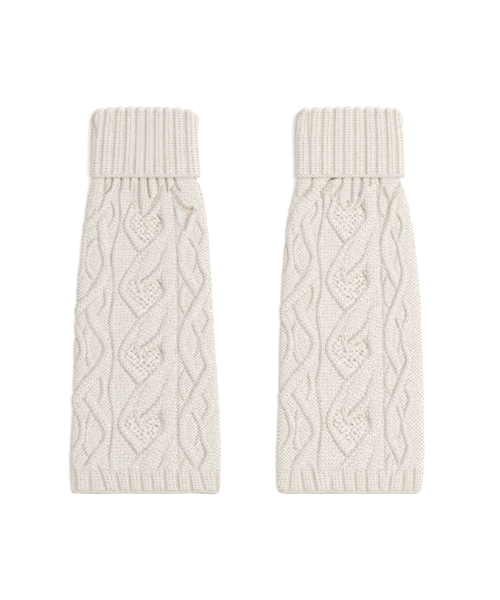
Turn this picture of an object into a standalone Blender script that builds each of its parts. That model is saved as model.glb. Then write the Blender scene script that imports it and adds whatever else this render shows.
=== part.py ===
"""A pair of cable-knit leg warmers with turned-down ribbed cuffs, laid flat side by side.

Units are metres and +Z is up. The legs lie along Y with their cuffs towards +Y, and
rest on z = 0. Each one is a flattened tube: its back lies on the surface, and its
front lies on its back. Each has three pieces: the cable-knit leg, the ribbed hem, and
the ribbed cuff, which is doubled and turned down over the leg.

Sizes below are in millimetres. The cable chart is in stitches, as a knitter counts
them: wales across and courses down.
"""

import math

import bmesh
import bpy
import numpy as np

MM = 0.001

# --- the wall, and how its layers lie ---------------------------------------
WALL = 2.8  # the plain knit, without its cables and ribs
HOLLOW = 0.8  # between the inner faces of the back and the front
LAYER_GAP = 0.6  # between the leg and the cuff turned down over it
SEAM_GAP = 0.3  # between pieces knitted end to end
LEG_HALF = WALL + HOLLOW / 2  # from a leg's middle plane to its outer face
CUFF_HALF = LEG_HALF + LAYER_GAP + WALL
FOLD_ROUND = 8.0  # how wide the rounding is at a side fold

# --- lengths along the leg, measured up from the hem's edge ------------------
HEM_TOP = 26.0
LIFT_START = 310.0  # where the leg begins to rise onto the cuff's back layer
CUFF_EDGE = 341.5  # the lower edge of the turned-down cuff
GATHER_START = CUFF_EDGE - 20  # where the cables begin to gather under the cuff
GATHER_FULL = CUFF_EDGE - 7
COVERED = CUFF_EDGE - 1  # from here up the leg is plain, because the cuff covers it
LEG_TOP = 357.0  # where the leg ends, out of sight under the cuff
CUFF_FOLD = 417.0  # the top of the fold, without its ribs

# --- how far the knit is raised -----------------------------------------------
BOLD_RISE = 2.7  # the heart's strands and the near ones of the lattice
THIN_RISE = 2.1
PANEL_RISE = 1.8
MOSS_RISE = 1.0
GROUND_RISE = 0.9
CUFF_RIB_RISE = 1.6
HEM_RIB_RISE = 1.4
GATHER_RISE = 1.2
EDGE_RISE = 0.7  # a cast-off edge
EDGE_DEPTH = 3.0
FOLD_RELIEF = 0.35  # the share of the relief that is left at the side folds
DIP = (0.8, 1.6)  # what a strand crosses dips here, in half widths from its middle
RIB_SHARPNESS = 0.55  # under 1 makes a rib broad and the furrow beside it narrow
LENGTH = CUFF_FOLD + CUFF_RIB_RISE


def curve_through(rows, steps=4):
    """Catmull-Rom points through the rows of a table."""
    rows = np.array(rows, float)
    padded = np.vstack([2 * rows[0] - rows[1], rows, 2 * rows[-1] - rows[-2]])
    t = np.linspace(0.0, 1.0, steps, endpoint=False)[:, None]
    spans = []
    for a, b, c, d in zip(padded, padded[1:], padded[2:], padded[3:]):
        bend = (2 * a - 5 * b + 4 * c - d) * t**2 + (3 * b - a - 3 * c + d) * t**3
        spans.append(b + 0.5 * ((c - a) * t + bend))
    return np.vstack([*spans, rows[-1:]])


def smoothstep(low, high, value):
    share = np.clip((value - low) / (high - low), 0.0, 1.0)
    return share * share * (3 - 2 * share)


# --- the chart ------------------------------------------------------------------
PANEL_WALES = 10.0  # from the middle to the line beside the heart panel
HEART_COURSES = 21.0  # from one heart's tip to the next
LATTICE_COURSES = 27.5  # from one crossing of a side lattice to the next
LATTICE_LENGTH = 94.5  # the same in mm
HEARTS = 6  # four whole ones, and parts under the cuff and at the hem
FIRST_REPEAT = -2
LAST_REPEAT = 4
REACH = 4.0  # a strand shapes the knit no further than this, in wales or courses
FAR_OFF = 9.0

# The strand that makes a heart's right lobe, crosses over at its tip and goes on
# as the left lobe of the heart below. Courses count down from the tip.
LOBE_STRAND = curve_through((  # wale, course, half width in wales
    (7.6, -18.5, 2.0),
    (7.7, -14.5, 2.1),
    (7.4, -11.5, 2.0),
    (6.8, -9.0, 1.8),
    (5.3, -6.6, 1.6),
    (3.3, -4.4, 1.4),
    (1.2, -2.2, 1.3),
    (-0.9, 0.0, 1.3),
    (-2.8, 2.8, 1.3),
    (-4.6, 5.9, 1.25),
    (-6.0, 8.8, 1.25),
    (-6.5, 11.3, 1.25),
    (-5.7, 13.6, 1.25),
    (-3.9, 15.8, 1.25),
    (-2.1, 18.0, 1.25),
    (-0.7, 19.9, 1.1),
))
# The one that comes down on the right and arches over the right lobe to its notch.
ARCH_STRAND = curve_through((
    (8.3, -26.5, 0.3),
    (8.1, -23.5, 1.5),
    (7.6, -20.5, 2.1),
    (6.2, -17.4, 1.9),
    (4.1, -15.3, 1.4),
    (1.9, -13.6, 1.2),
    (0.1, -12.2, 1.0),
    (-1.0, -11.0, 0.6),
))
# The broad band that leaves the right lobe and ends in a point at the next notch.
BAND_STRAND = curve_through((
    (6.2, -4.5, 1.5),
    (3.9, -1.0, 2.4),
    (2.0, 2.6, 2.9),
    (0.3, 5.6, 2.6),
    (-1.1, 8.2, 1.6),
    (-1.2, 10.0, 0.6),
))
# The moss-stitch filling of a heart, from its notch to its tip.
MOSS_STRAND = curve_through((
    (0.0, -10.8, 4.9),
    (0.0, -8.6, 4.9),
    (-0.1, -5.6, 3.4),
    (-0.5, -2.6, 1.4),
))
# Beside the panel: wales out from the panel's line, courses down from a crossing.
NEAR_STRAND = curve_through((  # swings from a crossing to the line and to the next one
    (10.0, -6.4, 0.3),
    (8.9, -4.0, 1.1),
    (6.2, 0.0, 1.35),
    (4.4, 3.1, 1.4),
    (3.1, 6.2, 1.4),
    (2.1, 9.4, 1.3),
    (1.6, 12.5, 1.3),
    (1.6, 15.6, 1.3),
    (2.3, 18.1, 1.3),
    (3.5, 20.6, 1.35),
    (5.0, 23.4, 1.35),
    (6.2, 26.2, 1.3),
    (7.2, 28.7, 1.0),
))
FAR_STRAND = curve_through((  # goes on from under a crossing, to and fro farther out
    (7.2, 1.2, 1.0),
    (9.1, 3.1, 1.1),
    (9.9, 6.2, 1.1),
    (8.5, 9.4, 1.1),
    (6.8, 12.5, 1.1),
    (6.3, 15.6, 1.1),
    (6.8, 18.1, 1.1),
    (8.5, 20.6, 1.1),
    (9.4, 22.9, 1.1),
))
TIE_STRAND = curve_through((  # from the near strand to the far one
    (3.7, 4.4, 0.9),
    (4.6, 6.6, 0.9),
    (5.3, 9.0, 0.9),
    (6.3, 12.0, 0.9),
))
LEAF_STRAND = curve_through((  # beside the crossing, near the panel's line
    (3.8, -7.4, 0.2),
    (2.5, -4.2, 0.7),
    (1.4, -1.6, 0.8),
    (1.2, 1.2, 0.8),
    (2.0, 3.8, 0.7),
    (3.2, 6.8, 0.3),
))

# --- each leg's outline and the lines beside its heart panel ---------------------
LEFT_ROWS = (  # up, left edge, left line, right line, right edge from the middle
    (0, 76.5, 36.0, 37.0, 80.5),
    (9, 78.0, 36.0, 37.0, 82.5),
    (37, 79.0, 36.0, 37.0, 83.0),
    (63, 77.6, 36.0, 36.5, 82.8),
    (114, 75.4, 36.0, 36.5, 80.1),
    (166, 73.8, 36.0, 36.5, 76.3),
    (218, 71.1, 35.0, 36.5, 73.6),
    (270, 65.7, 32.5, 35.0, 70.4),
    (296, 63.0, 28.0, 33.5, 67.7),
    (313, 60.8, 26.5, 32.0, 65.5),
    (331, 55.6, 26.0, 31.5, 60.1),
    (339, 54.0, 26.0, 31.0, 56.0),
    (345, 53.2, 26.0, 31.0, 54.5),
    (357, 53.0, 26.0, 31.0, 54.0),
)
RIGHT_ROWS = (
    (0, 75.5, 34.0, 36.5, 73.5),
    (9, 78.5, 34.0, 36.5, 77.5),
    (37, 79.0, 34.0, 36.5, 79.6),
    (63, 78.1, 34.0, 36.5, 79.6),
    (114, 76.4, 35.0, 36.0, 79.1),
    (166, 75.4, 35.0, 35.5, 77.5),
    (218, 73.7, 34.5, 34.0, 74.8),
    (270, 70.0, 34.0, 32.0, 69.9),
    (296, 67.0, 33.0, 31.0, 65.6),
    (313, 63.5, 31.0, 29.0, 62.3),
    (331, 58.5, 30.5, 28.0, 56.9),
    (339, 56.6, 30.5, 27.5, 53.2),
    (345, 55.8, 30.0, 27.0, 51.8),
    (357, 55.6, 30.0, 27.0, 51.4),
)
LEFT_CUFF_ROWS = (  # up, left edge, right edge from the middle
    (341, 58.0, 61.2),
    (346, 57.8, 59.4),
    (360, 57.5, 58.2),
    (381, 57.0, 58.0),
    (404, 56.2, 58.4),
    (411, 55.0, 57.0),
    (417, 51.0, 53.0),
)
RIGHT_CUFF_ROWS = (
    (341, 60.4, 57.2),
    (346, 60.0, 56.6),
    (360, 60.0, 55.8),
    (381, 60.3, 55.2),
    (404, 59.8, 54.6),
    (411, 58.4, 53.2),
    (417, 54.4, 49.4),
)
LEGS = (
    {
        "name": "left",
        "middle": -112.2,
        "rows": LEFT_ROWS,
        "cuff_rows": LEFT_CUFF_ROWS,
        "tips": (328.0, 257.0, 186.0, 113.5, 38.0, -36.0),
        "crossings": (206.5, 210.5),  # one crossing of the left and right lattices
        "spread": (0.95, 1.05),  # how wide each lattice is stretched
        "furrow": 0.0,  # where a furrow of the cuff lies from its middle, in ribs
    },
    {
        "name": "right",
        "middle": 111.3,
        "rows": RIGHT_ROWS,
        "cuff_rows": RIGHT_CUFF_ROWS,
        "tips": (340.0, 267.0, 193.5, 119.0, 35.5, -40.0),
        "crossings": (214.5, 219.0),
        "spread": (0.95, 0.85),
        "furrow": 0.5,
    },
)

# --- ribs, counted across the front -------------------------------------------------
CUFF_RIBS = 10.6
FOLD_RIB_END = (2.2, 1.6)  # how far round the fold its ribs go, in radians
HEM_RIBS = 12.2
GATHER_RIBS = 12.0

# --- the mesh --------------------------------------------------------------------------
FRONT_COLUMNS = 110
BACK_COLUMNS = 30
FOLD_CROWDING = 0.4  # how much closer the columns are near the side folds, from 0 to 1
ROW_STEP = 2.0
INSIDE_EVERY = 6  # rows outside for each row inside
INNER_CUFF_ROWS = 8
OUTER_CUFF_ROWS = 25
FOLD_STEPS = 9
LEG_FACES = 4900
HEM_FACES = 900
CUFF_FACES = 1700

KNIT_COLOUR = (0.76, 0.716, 0.659, 1.0)
RIB_COLOUR = (0.745, 0.70, 0.64, 1.0)
KNIT_ROUGHNESS = 0.95


def read_rows(rows, up):
    """Every column of a table but the first, smoothly at the heights asked for."""
    line = curve_through(rows)
    return [np.interp(up, line[:, 0], line[:, i]) for i in range(1, line.shape[1])]


def share_of_width(strands, wale, course):
    """How far points of one course lie from the nearest strand, in its half widths."""
    nearest = np.full(wale.shape, FAR_OFF)
    for strand in strands:
        for (w0, c0, h0), (w1, c1, h1) in zip(strand, strand[1:]):
            if not min(c0, c1) - REACH < course < max(c0, c1) + REACH:
                continue
            dw, dc = w1 - w0, c1 - c0
            along = (wale - w0) * dw + (course - c0) * dc
            along = np.clip(along / (dw * dw + dc * dc), 0.0, 1.0)
            away = np.hypot(wale - w0 - along * dw, course - c0 - along * dc)
            nearest = np.minimum(nearest, away / (h0 + along * (h1 - h0)))
    return nearest


def lay_over(height, strands, wale, course, rise):
    """Rounded strands on top of a height, which dips beside them."""
    share = share_of_width(strands, wale, course)
    below = height * smoothstep(*DIP, share)
    return below + rise * np.sqrt(1 - np.minimum(share, 1) ** 3)


def heart_panel(wale, course):
    """One course of the middle panel: smooth knit with the hearts on it."""
    height = PANEL_RISE * smoothstep(PANEL_WALES, PANEL_WALES - 1, np.abs(wale))
    downs = [course - heart * HEART_COURSES for heart in range(HEARTS)]
    for down in downs:
        height = lay_over(height, [MOSS_STRAND], wale, down, MOSS_RISE)
    for down in downs:
        crossing = [ARCH_STRAND, LOBE_STRAND, BAND_STRAND]
        height = lay_over(height, crossing, wale, down, BOLD_RISE)
    return height


def side_lattice(out, course):
    """One course beside the panel: purl ground with the lattice's strands on it."""
    height = GROUND_RISE * smoothstep(0.0, 1.0, out)
    for repeat in range(FIRST_REPEAT, LAST_REPEAT):
        down = course - repeat * LATTICE_COURSES
        height = lay_over(height, [FAR_STRAND, TIE_STRAND, LEAF_STRAND], out, down, THIN_RISE)
        height = lay_over(height, [NEAR_STRAND], out, down, BOLD_RISE)
    return height


def ribs(turns, rise):
    """Broad ridges with a narrow furrow between them, at each whole turn."""
    return rise * np.abs(np.sin(math.pi * turns)) ** RIB_SHARPNESS


def leg_relief(leg, across, up):
    """How far a leg's front is raised at places across from its middle and up."""
    left, left_line, right_line, right = read_rows(leg["rows"], up)
    tips = np.array(leg["tips"][::-1])
    course = HEART_COURSES * np.interp(up, tips, np.arange(len(tips))[::-1])
    panel_middle = (right_line - left_line) / 2
    wale_width = (right_line + left_line) / 2 / PANEL_WALES
    wale = (across - panel_middle) / wale_width
    cables = heart_panel(wale, course)
    for side, spread, crossing in zip((-1, 1), leg["spread"], leg["crossings"]):
        course = (crossing - up) * LATTICE_COURSES / LATTICE_LENGTH
        beside = side * wale > PANEL_WALES
        cables[beside] = side_lattice((side * wale[beside] - PANEL_WALES) / spread, course)
    gathered = smoothstep(GATHER_START, GATHER_FULL, up)
    gathers = ribs(GATHER_RIBS * (across + left) / (left + right), GATHER_RISE)
    in_sight = smoothstep(COVERED, COVERED - EDGE_DEPTH, up)
    return (cables * (1 - gathered) + gathers * gathered) * in_sight


def flat_ring(left, right, middle_z, half, rounding):
    """A flattened loop: its front from the left fold to the right, then its back.

    Returns x and z, and the outward direction as x and z, at each point.
    """
    even = np.concatenate([
        np.linspace(0.0, 1.0, FRONT_COLUMNS),
        np.linspace(1.0, 0.0, BACK_COLUMNS + 2)[1:-1],
    ])
    at_folds = (1 - np.cos(math.pi * even)) / 2
    share = even + FOLD_CROWDING * (at_folds - even)
    front = np.where(np.arange(len(even)) < FRONT_COLUMNS, 1.0, -1.0)
    x = share * (left + right) - left
    side = np.sign(share - 0.5)
    inward = np.minimum(x + left, right - x)
    cosine = 1 - np.clip(inward / rounding, 0, 1)
    sine = np.sqrt(1 - cosine**2)
    size = np.hypot(cosine * half, sine * rounding)
    z = middle_z + front * half * sine
    return x, z, side * cosine * half / size, front * sine * rounding / size


def relief_fade(out_z, lean):
    """Full on the front and round an end, slight at the side folds, none underneath."""
    ahead = FOLD_RELIEF + (1 - FOLD_RELIEF) * smoothstep(0.0, 0.9, out_z)
    fade = np.where(out_z < -0.01, 0.0, ahead)
    return fade + (1 - fade) * max(math.sin(lean), 0.0) ** 3


def ring_points(middle, relief, station):
    """A station's loop with the relief on it, which leans towards +Y round a fold."""
    up, left, right, z, half, rounding, strength, lean = station
    x, height, out_x, out_z = flat_ring(left, right, z, half, rounding)
    raised = strength * relief(x, up) * relief_fade(out_z, lean)
    raised_flat = raised * math.cos(lean)
    return np.column_stack([
        middle + x + out_x * raised_flat,
        up + raised * math.sin(lean),
        height + out_z * raised_flat,
    ])


def rise_of(up):
    """The height of a leg's middle plane, where it runs up onto the cuff's back."""
    return LEG_HALF + (LAYER_GAP + WALL) * smoothstep(LIFT_START, COVERED, up)


def wall_stations(leg, low, high):
    """Up the outside of a piece of the leg, then down its plain inside."""
    stations = []
    rows = round((high - low) / ROW_STEP) + 1
    for up in np.linspace(low, high, rows):
        left, _, _, right = read_rows(leg["rows"], up)
        stations.append((up, left, right, rise_of(up), LEG_HALF, FOLD_ROUND, 1.0, 0.0))
    for up in np.linspace(high, low, 2 + rows // INSIDE_EVERY):
        left, _, _, right = read_rows(leg["rows"], up)
        inside = (left - WALL, right - WALL, rise_of(up), HOLLOW / 2, FOLD_ROUND - WALL)
        stations.append((up, *inside, 0.0, 0.0))
    return stations


def cuff_stations(leg):
    """Up the inside of the cuff, over its fold and down its face, and back between its layers."""
    bend = (CUFF_HALF - HOLLOW / 2) / 2  # radius of the fold's outside
    slit = LAYER_GAP / 2  # radius of its inside
    centre = CUFF_FOLD - bend
    stations = []

    def add(up, half, strength=0.0, lean=0.0):
        left, right = read_rows(leg["cuff_rows"], up)
        depth = CUFF_HALF - half
        rounding = max(FOLD_ROUND - depth, half)
        stations.append(
            (up, left - depth, right - depth, CUFF_HALF, half, rounding, strength, lean)
        )

    inner_rows = np.linspace(LEG_TOP + SEAM_GAP, centre, INNER_CUFF_ROWS)
    outer_rows = np.linspace(centre, CUFF_EDGE, OUTER_CUFF_ROWS)
    for up in inner_rows:
        add(up, HOLLOW / 2)
    for angle in np.linspace(math.pi, 0.0, FOLD_STEPS)[1:-1]:
        half = CUFF_HALF - bend + bend * math.cos(angle)
        add(centre + bend * math.sin(angle), half, smoothstep(*FOLD_RIB_END, angle), angle)
    for up in outer_rows:
        add(up, CUFF_HALF, 1.0)
    for up in outer_rows[::-3]:
        add(up, CUFF_HALF - WALL)
    for angle in np.linspace(0.0, math.pi, FOLD_STEPS)[1:-1]:
        half = CUFF_HALF - bend + slit * math.cos(angle)
        add(centre + slit * math.sin(angle), half)
    for up in inner_rows[::-1]:
        add(up, LEG_HALF)
    return stations


def hem_relief(leg, across, up):
    left, _, _, right = read_rows(leg["rows"], up)
    ribbed = ribs(HEM_RIBS * (across + left) / (left + right), HEM_RIB_RISE)
    edge = smoothstep(EDGE_DEPTH, 0.0, up)
    return ribbed * (1 - edge) + EDGE_RISE * edge


def cuff_relief(leg, across, up):
    left, right = read_rows(leg["cuff_rows"], up)
    share = (across + left) / (left + right) - 0.5
    ribbed = ribs(CUFF_RIBS * share + leg["furrow"], CUFF_RIB_RISE)
    edge = smoothstep(CUFF_EDGE + EDGE_DEPTH, CUFF_EDGE, up)
    return ribbed * (1 - edge) + EDGE_RISE * edge


def add_piece(collection, name, rings, colour, faces):
    """A closed wall through rings that end where they began, thinned out where it is plain."""
    rings = np.array(rings)
    count = rings.shape[1]
    here = np.arange(rings.shape[0] * count).reshape(rings.shape[:2])
    above = np.roll(here, -1, axis=0)
    quads = np.stack([here, np.roll(here, -1, 1), np.roll(above, -1, 1), above], axis=-1)
    mesh = bpy.data.meshes.new(name)
    mesh.from_pydata((rings.reshape(-1, 3) * MM).tolist(), [], quads.reshape(-1, 4).tolist())
    bm = bmesh.new()
    bm.from_mesh(mesh)
    bmesh.ops.recalc_face_normals(bm, faces=bm.faces)
    bm.to_mesh(mesh)
    bm.free()
    mesh.shade_smooth()
    mesh.materials.append(knit_material(name, colour))
    piece = bpy.data.objects.new(name, mesh)
    collection.objects.link(piece)
    thinned = piece.modifiers.new("Fewer faces on plain stretches", "DECIMATE")
    thinned.ratio = faces / (2 * len(mesh.polygons))


def knit_material(name, colour):
    material = bpy.data.materials.new(name)
    material.use_nodes = True
    shader = material.node_tree.nodes["Principled BSDF"]
    shader.inputs["Base Color"].default_value = colour
    shader.inputs["Roughness"].default_value = KNIT_ROUGHNESS
    shader.inputs["Metallic"].default_value = 0.0
    material.diffuse_color = colour
    return material


def add_leg_warmer(collection, leg):
    pieces = (
        ("hem", wall_stations(leg, 0.0, HEM_TOP - SEAM_GAP / 2), hem_relief, HEM_FACES),
        ("leg", wall_stations(leg, HEM_TOP + SEAM_GAP / 2, LEG_TOP), leg_relief, LEG_FACES),
        ("cuff", cuff_stations(leg), cuff_relief, CUFF_FACES),
    )
    for piece, stations, relief, faces in pieces:
        def on_leg(across, up, relief=relief):
            return relief(leg, across, up)

        rings = [ring_points(leg["middle"], on_leg, station) for station in stations]
        colour = KNIT_COLOUR if piece == "leg" else RIB_COLOUR
        centred = np.array(rings) - (0.0, LENGTH / 2, 0.0)
        add_piece(collection, leg["name"] + "_" + piece, centred, colour, faces)


def main():
    for leftover in list(bpy.data.objects):
        bpy.data.objects.remove(leftover, do_unlink=True)
    collection = bpy.data.collections.new("Leg warmers")
    bpy.context.scene.collection.children.link(collection)
    for leg in LEGS:
        add_leg_warmer(collection, leg)


main()
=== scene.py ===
import math

import bpy
import numpy as np
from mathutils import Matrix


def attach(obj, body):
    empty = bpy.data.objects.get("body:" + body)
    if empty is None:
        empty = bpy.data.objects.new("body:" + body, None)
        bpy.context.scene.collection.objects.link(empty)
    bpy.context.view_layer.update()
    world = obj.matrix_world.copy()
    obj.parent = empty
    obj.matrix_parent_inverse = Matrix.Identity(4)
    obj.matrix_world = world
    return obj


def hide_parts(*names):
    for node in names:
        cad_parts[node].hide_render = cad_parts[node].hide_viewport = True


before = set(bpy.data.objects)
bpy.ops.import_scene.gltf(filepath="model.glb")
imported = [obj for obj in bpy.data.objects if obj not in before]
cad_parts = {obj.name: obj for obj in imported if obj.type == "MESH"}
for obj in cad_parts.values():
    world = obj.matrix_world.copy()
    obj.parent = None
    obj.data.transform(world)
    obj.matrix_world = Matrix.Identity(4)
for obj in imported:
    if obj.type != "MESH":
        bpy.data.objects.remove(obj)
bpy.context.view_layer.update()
mm = 0.001

# the knitted wall and how its layers lie, in mm; heights run up from the hem's edge
wall = {
    "thickness": 2.8,
    "hollow": 0.8,  # between the back and the front of a leg
    "layerGap": 0.6,  # between the leg and the cuff turned down over it
    "seamGap": 0.04,  # between pieces knitted end to end
    "foldRound": 8.0,  # how wide the rounding is at a side fold
    "hemTop": 26.0,
    "liftStart": 310.0,  # where the leg begins to rise onto the cuff's back layer
    "cuffEdge": 341.5,
    "legTop": 357.0,
    "cuffFold": 417.0,
    "foldRibs": (406.0, 415.0),  # where the cuff's ribs swell into the fold, and where its holes end
    "foldDrop": 392.0,  # from here up the fold sinks towards its ends
    "length": 418.6,
    "foldRelief": 0.4,  # the share of the relief left at the side folds
}
legHalf = wall["thickness"] + wall["hollow"] / 2
cuffHalf = legHalf + wall["layerGap"] + wall["thickness"]
cuffHalfWidth = 58.0


# Catmull-Rom points through the rows of a table
def curveThrough(rows, steps=4):
    rows = np.array(rows, float)
    padded = np.vstack([2 * rows[0] - rows[1], rows, 2 * rows[-1] - rows[-2]])
    t = np.linspace(0.0, 1.0, steps, endpoint=False)[:, None]
    spans = []
    for a, b, c, d in zip(padded, padded[1:], padded[2:], padded[3:]):
        bend = (2 * a - 5 * b + 4 * c - d) * t**2 + (3 * b - a - 3 * c + d) * t**3
        spans.append(b + 0.5 * ((c - a) * t + bend))
    return np.vstack([*spans, rows[-1:]])


# the same through each of several tables
def curvesThrough(*tables):
    return [curveThrough(rows) for rows in tables]


# 0 below low, 1 above high, and 3s^2 - 2s^3 between them
def smoothstep(low, high, value):
    share = np.clip((value - low) / (high - low), 0.0, 1.0)
    return share * share * (3 - 2 * share)


# from old to new by a share between 0 and 1
def blend(old, new, share):
    return old * (1 - share) + new * share


# every column of a table but the first, smoothly at the heights asked for
def readRows(rows, up):
    line = curveThrough(rows)
    return [np.interp(up, line[:, 0], line[:, i]) for i in range(1, line.shape[1])]


# a few crossed sine waves of unlike length: soft unevenness from -1 to 1
def unevenness(x, y, length, seed):
    total = 0.0
    for k in range(4):
        turn = seed * 1.7 + k * 2.4
        size = length * (0.7 + 0.23 * k)
        total = total + np.sin((x * math.cos(turn) + y * math.sin(turn)) * 2 * math.pi / size + turn * 3)
    return total / 4


# the cable chart: wales across, courses down, half width in wales,
# then how deep the furrow is on the strand's left side and on its right one
heart = {
    "panelWales": 10.0,  # from the middle to the line beside the panel
    "courses": 21.0,  # from one tip to the next
    "lobe": curveThrough((
        (7.6, -18.5, 2, 0, 0), (7.6, -15.5, 2.1, 0.3, 0), (7.4, -13.5, 2.1, 1, 0),
        (7.3, -11.5, 1.9, 1, 0), (6.8, -9, 1.8, 1, 0), (5.4, -6.6, 1.5, 0.8, 0),
        (3.6, -4.4, 1.3, 0.85, 0), (1.5, -2.2, 1.2, 0.85, 0.1), (-0.7, 0, 1.25, 0.8, 0.3),
        (-2.8, 2.8, 1.3, 0.6, 0.35), (-4.8, 5.9, 1.1, 0.6, 0.4), (-6.3, 8.6, 0.95, 0.6, 0.7),
        (-6.7, 11, 0.95, 0.7, 0.7), (-5.6, 13.2, 1.1, 0.95, 0.5), (-3.7, 15.4, 1.25, 1, 0.4),
        (-2, 17.6, 1.25, 1, 0.4), (-0.5, 19.6, 1.15, 1, 0.4), (0.6, 21.2, 1, 0.9, 0.4),
    )),
    "arch": curveThrough((
        (8.3, -26.5, 0.3, 0, 0), (8.1, -23.5, 1.5, 0.1, 0), (7.6, -20.5, 2.1, 0.6, 0),
        (6.2, -17.4, 1.9, 0.9, 0.2), (4.1, -15.3, 1.4, 0.9, 0.5), (1.9, -13.6, 1.2, 0.9, 0.4),
        (0.1, -12.2, 1, 0.9, 0.4), (-1, -11, 0.6, 0.8, 0.5),
    )),
    "band": curveThrough((
        (6.2, -4.5, 1.5, 0, 0.1), (3.9, -1, 2.4, 0, 0.7), (2, 2.6, 2.9, 0.2, 0.9),
        (0.3, 5.6, 2.6, 0.3, 0.9), (-1.1, 8.2, 1.6, 0.5, 1), (-1.2, 10.2, 0.8, 0.8, 1),
        (-1.4, 11.8, 0.5, 0.8, 0.9),
    )),
    "moss": curveThrough((
        (-0.2, -10.9, 5.5, 0.2, 0.4), (-0.2, -8.8, 5.2, 0.2, 0.5), (-0.1, -5.6, 3.7, 0.2, 0.3),
        (-0.2, -2.2, 1.5, 0.2, 0.2),
    )),
    "gap": curveThrough((  # the deep crease inside the right lobe: half width, depth twice
        (3.9, -13.9, 0.3, 0.6, 0.6), (4.3, -13, 0.4, 0.95, 0.95), (4.8, -11.9, 0.5, 1, 1),
        (5.3, -10.6, 0.6, 0.75, 0.75), (5.2, -8.8, 0.55, 0.68, 0.68), (4.6, -7.4, 0.3, 0.4, 0.4),
    )),
}

# beside the panel: wales out from its line, courses down from a crossing, half width,
# then the furrow on the side near the line and on the outer side
latticeCourses = 27.5
leftLattice = {
    "near": curveThrough((  # over the crossing it runs on outwards
        (8.7, -1.6, 1.2, 0.3, 0.2), (7.6, 0, 1.35, 0.3, 0.5), (6.6, 2.2, 1.4, 0.2, 1),
        (5.7, 4, 1.4, 0.2, 1), (4.6, 6.6, 1.4, 0.2, 1), (3.5, 9, 1.4, 0.2, 0.9), (2.7, 10.6, 1.4, 0.4, 1),
        (1.6, 12.8, 1.4, 0.7, 1), (1.2, 15, 1.35, 0.8, 1), (1.4, 16.6, 1.35, 0.8, 1),
        (2, 18.2, 1.4, 0.5, 0.9), (2.7, 19.6, 1.4, 0.3, 0.9), (3.6, 21.2, 1.4, 0.2, 1),
        (4.7, 23.2, 1.45, 0.2, 1), (6, 25.3, 1.5, 0.2, 1), (7.5, 27.5, 1.5, 0.3, 1),
        (9, 29.6, 1.4, 0.5, 0.9), (10.6, 31.6, 1.3, 0.5, 0.6), (12, 33.4, 1.2, 0.3, 0.3),
    )),
    "thin": curvesThrough((  # the leaf's strand, beside the line
        (3.2, -4.8, 0.3, 0, 0.3), (2, -2.6, 0.7, 0.1, 0.9), (1.5, -0.6, 0.75, 0.2, 0.9),
        (1.4, 1.2, 0.75, 0.2, 0.9), (1.9, 3, 0.75, 0.1, 0.6), (2.8, 4.7, 0.6, 0, 0.3),
        (3.7, 6.2, 0.3, 0, 0),
    ), (  # leaves the near strand and comes back to it
        (5.1, 6.6, 0.7, 0.1, 0.9), (5.9, 8.6, 0.85, 0, 0.9), (6.9, 11, 0.85, 0, 0.8),
        (7.6, 13, 0.85, 0, 0.9), (7.7, 15, 0.85, 0, 0.9), (7.2, 17.4, 0.85, 0, 0.8),
        (6.3, 19.6, 0.85, 0.2, 0.9), (5.2, 21.4, 0.6, 0.3, 0.9),
    ), (  # the far strand
        (11.6, 4.4, 0.8, 0, 0.6), (10.4, 6.6, 0.9, 0.1, 0.8), (9.5, 9.4, 0.9, 0.1, 0.9),
        (8.9, 12, 0.85, 0.2, 0.9), (8.7, 14, 0.8, 0.3, 0.9), (8.9, 16.6, 0.85, 0.2, 0.9),
        (9.7, 19.2, 0.9, 0.1, 0.8), (11.2, 21.6, 0.8, 0, 0.5),
    )),
    "patches": curvesThrough((
        (4.9, 9.4, 0.5, 0.4, 0), (5, 12.2, 1.6, 0.4, 0), (4.8, 15, 2, 0.4, 0), (5, 17.4, 1.5, 0.4, 0),
        (5.3, 19.6, 0.5, 0.4, 0),
    ), (
        (4.6, -3, 0.8, 0.6, 0.1), (4.7, 0, 2, 0.6, 0.1), (4.5, 2.6, 1.6, 0.5, 0.1),
        (4.2, 4.6, 0.5, 0.4, 0),
    ), (
        (8.6, 3.4, 0.6, 0, 0), (8.7, 6, 1.9, 0.2, 0), (8.3, 8.6, 1.5, 0.3, 0), (8, 10.4, 0.5, 0.3, 0),
    ), (
        (7.9, 18.6, 0.6, 0.2, 0), (8.4, 21, 1.9, 0.2, 0), (9.2, 23.6, 2, 0.3, 0),
        (10.2, 26.2, 0.9, 0.3, 0),
    )),
}
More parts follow.
